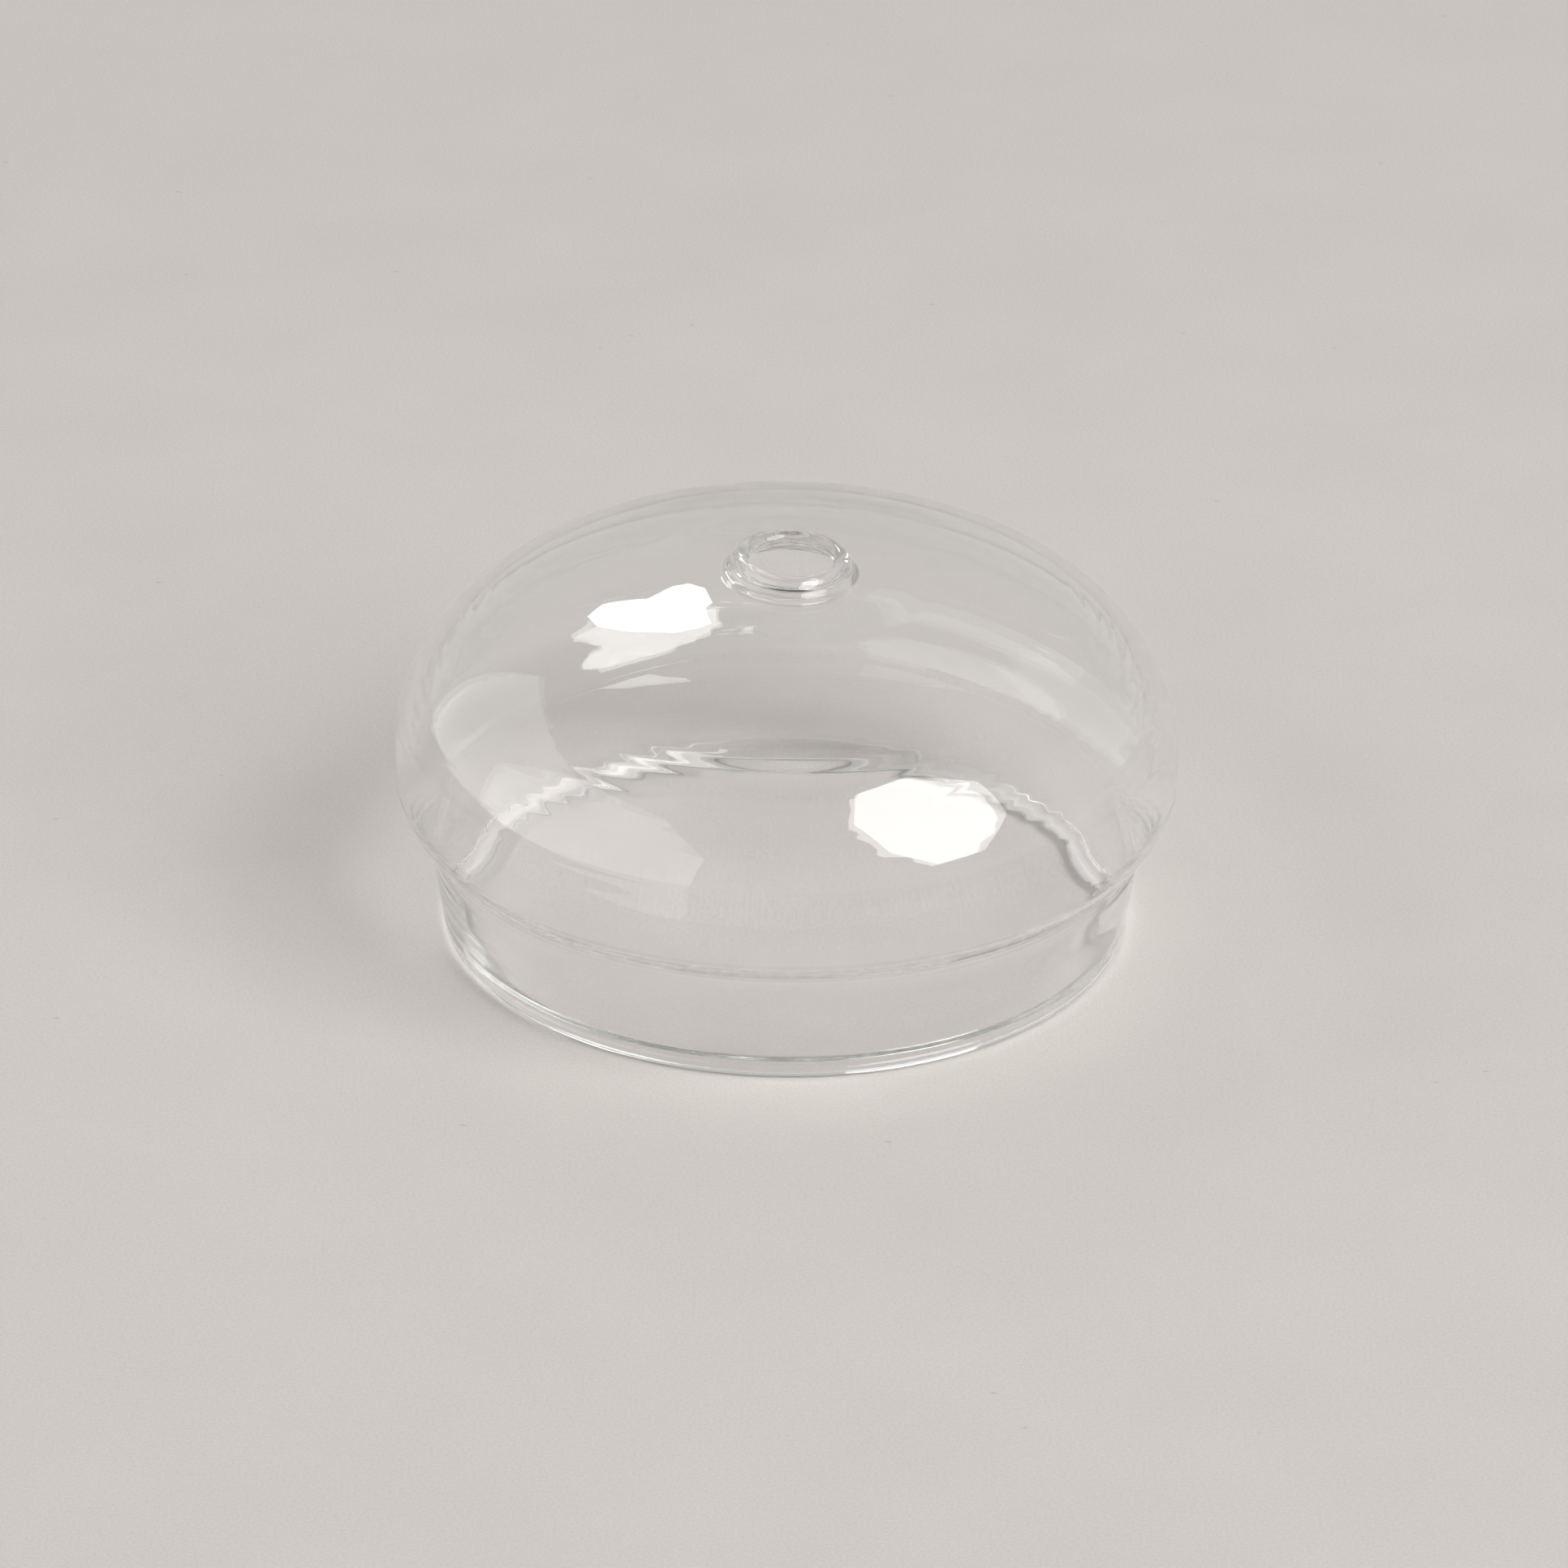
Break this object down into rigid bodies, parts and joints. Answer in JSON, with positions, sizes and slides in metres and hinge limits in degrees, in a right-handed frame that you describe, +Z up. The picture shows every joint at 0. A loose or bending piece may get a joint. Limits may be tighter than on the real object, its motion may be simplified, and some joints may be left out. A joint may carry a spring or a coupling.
{
  "type": "glass bell jar dome",
  "caption": "Low clear glass cover with a rounded, overhanging dome, a short tapered plug-in skirt and a lipped vent hole in its crown.",
  "frame": {"origin": "centre of the ring on which the foot rim stands, at its lowest plane", "axes": "+Z up the dome's axis, through the vent; X and Y are free, as the dome is a body of revolution"},
  "size_m": [0.0958, 0.0958, 0.0489],
  "materials": {
    "clear_glass": "clear fire-polished"
  },
  "bodies": {
    "root": {"foot_rim": "clear_glass", "skirt_wall": "clear_glass", "shoulder_roll": "clear_glass", "dome_haunch": "clear_glass", "dome_crown": "clear_glass", "vent_collar": "clear_glass"}
  },
  "joints": []
}
